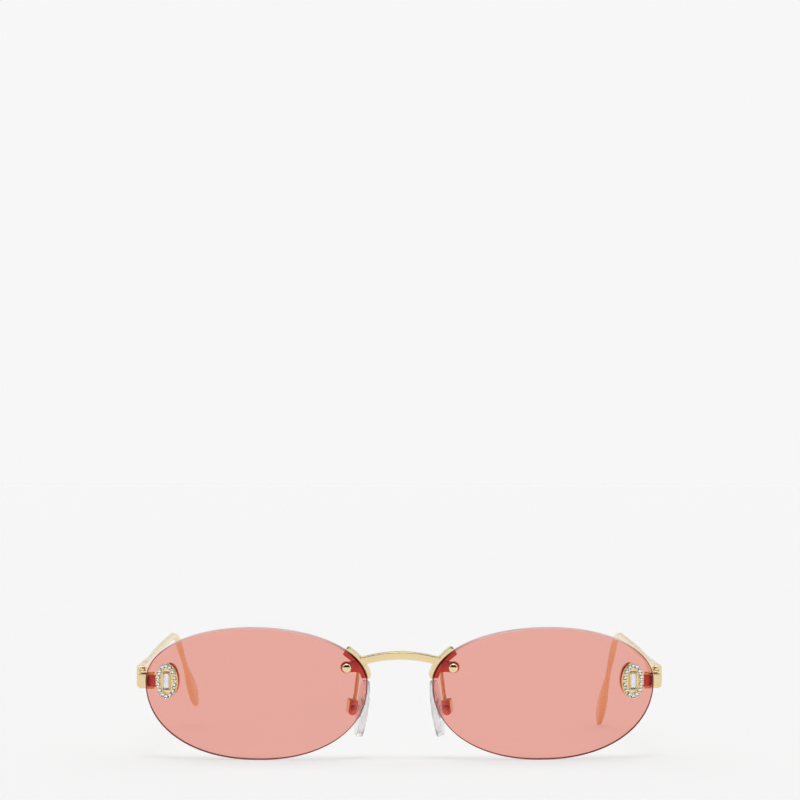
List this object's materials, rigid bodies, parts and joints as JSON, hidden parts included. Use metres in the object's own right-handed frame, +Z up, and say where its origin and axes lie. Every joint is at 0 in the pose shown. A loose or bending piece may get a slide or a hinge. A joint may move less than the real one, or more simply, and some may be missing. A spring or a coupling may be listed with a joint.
{
  "type": "sunglasses",
  "caption": "Rimless sunglasses with oval tinted lenses, a gold arched bridge, jewelled corner plaques, hinged wire temples and rocking nose pads.",
  "frame": {"origin": "centre of the footprint of the bounding box, at the level it stands on", "axes": "+X to the right as seen from the front, +Y back along the temples, +Z up; the lenses face -Y; millimetre model stored in metres; the front stands on its lenses and one temple tip, so the temples rise backwards by 4 degrees"},
  "size_m": [0.1372, 0.1342, 0.0344],
  "materials": {
    "gold": "polished pale gold plating",
    "tinted_lens": "polished coral-pink tint, ground edge",
    "silicone": "clear soft silicone, satin",
    "crystal": "faceted clear stones",
    "nylon": "natural nylon, smooth"
  },
  "bodies": {
    "front": {"baguette_stone_left": "crystal", "baguette_stone_right": "crystal", "bridge_bar": "gold", "bridge_bushing_left": "nylon", "bridge_bushing_right": "nylon", "bridge_claw_left": "gold", "bridge_claw_right": "gold", "bridge_nut_left": "gold", "bridge_nut_right": "gold", "bridge_screw_left": "gold", "bridge_screw_right": "gold", "crystal_band_left": "crystal", "crystal_band_right": "crystal", "end_piece_left": "gold", "end_piece_right": "gold", "hinge_front_leaf_left": "gold", "hinge_front_leaf_right": "gold", "hinge_screw_left": "gold", "hinge_screw_right": "gold", "lens_left": "tinted_lens", "lens_right": "tinted_lens", "ornament_bushing_lower_left": "nylon", "ornament_bushing_lower_right": "nylon", "ornament_bushing_upper_left": "nylon", "ornament_bushing_upper_right": "nylon", "ornament_nut_lower_left": "gold", "ornament_nut_lower_right": "gold", "ornament_nut_upper_left": "gold", "ornament_nut_upper_right": "gold", "ornament_post_lower_left": "gold", "ornament_post_lower_right": "gold", "ornament_post_upper_left": "gold", "ornament_post_upper_right": "gold", "ornament_setting_left": "gold", "ornament_setting_right": "gold", "pad_arm_left": "gold", "pad_arm_right": "gold", "pad_box_left": "gold", "pad_box_right": "gold", "pad_screw_left": "gold", "pad_screw_right": "gold"},
    "left_temple": {"hinge_temple_leaf_left": "gold", "temple_left": "gold"},
    "right_temple": {"hinge_temple_leaf_right": "gold", "temple_right": "gold"},
    "left_pad": {"nose_pad_left": "silicone", "pad_mount_left": "nylon"},
    "right_pad": {"nose_pad_right": "silicone", "pad_mount_right": "nylon"}
  },
  "joints": [
    {"name": "left_temple_hinge", "type": "hinge", "parent": "front", "child": "left_temple", "pos_m": [-0.0667, -0.05338, 0.02046], "axis": [0, 0.0698, -0.9976], "range_deg": [0, 88]},
    {"name": "right_temple_hinge", "type": "hinge", "parent": "front", "child": "right_temple", "pos_m": [0.0667, -0.05338, 0.02046], "axis": [0, -0.0698, 0.9976], "range_deg": [0, 86]},
    {"name": "left_pad_rock", "type": "hinge", "parent": "front", "child": "left_pad", "pos_m": [-0.0123, -0.05716, 0.01341], "axis": [-0.2895, 0.9413, 0.1734], "range_deg": [-8, 8]},
    {"name": "right_pad_rock", "type": "hinge", "parent": "front", "child": "right_pad", "pos_m": [0.0123, -0.05716, 0.01341], "axis": [0.2895, 0.9413, 0.1734], "range_deg": [-8, 8]}
  ]
}
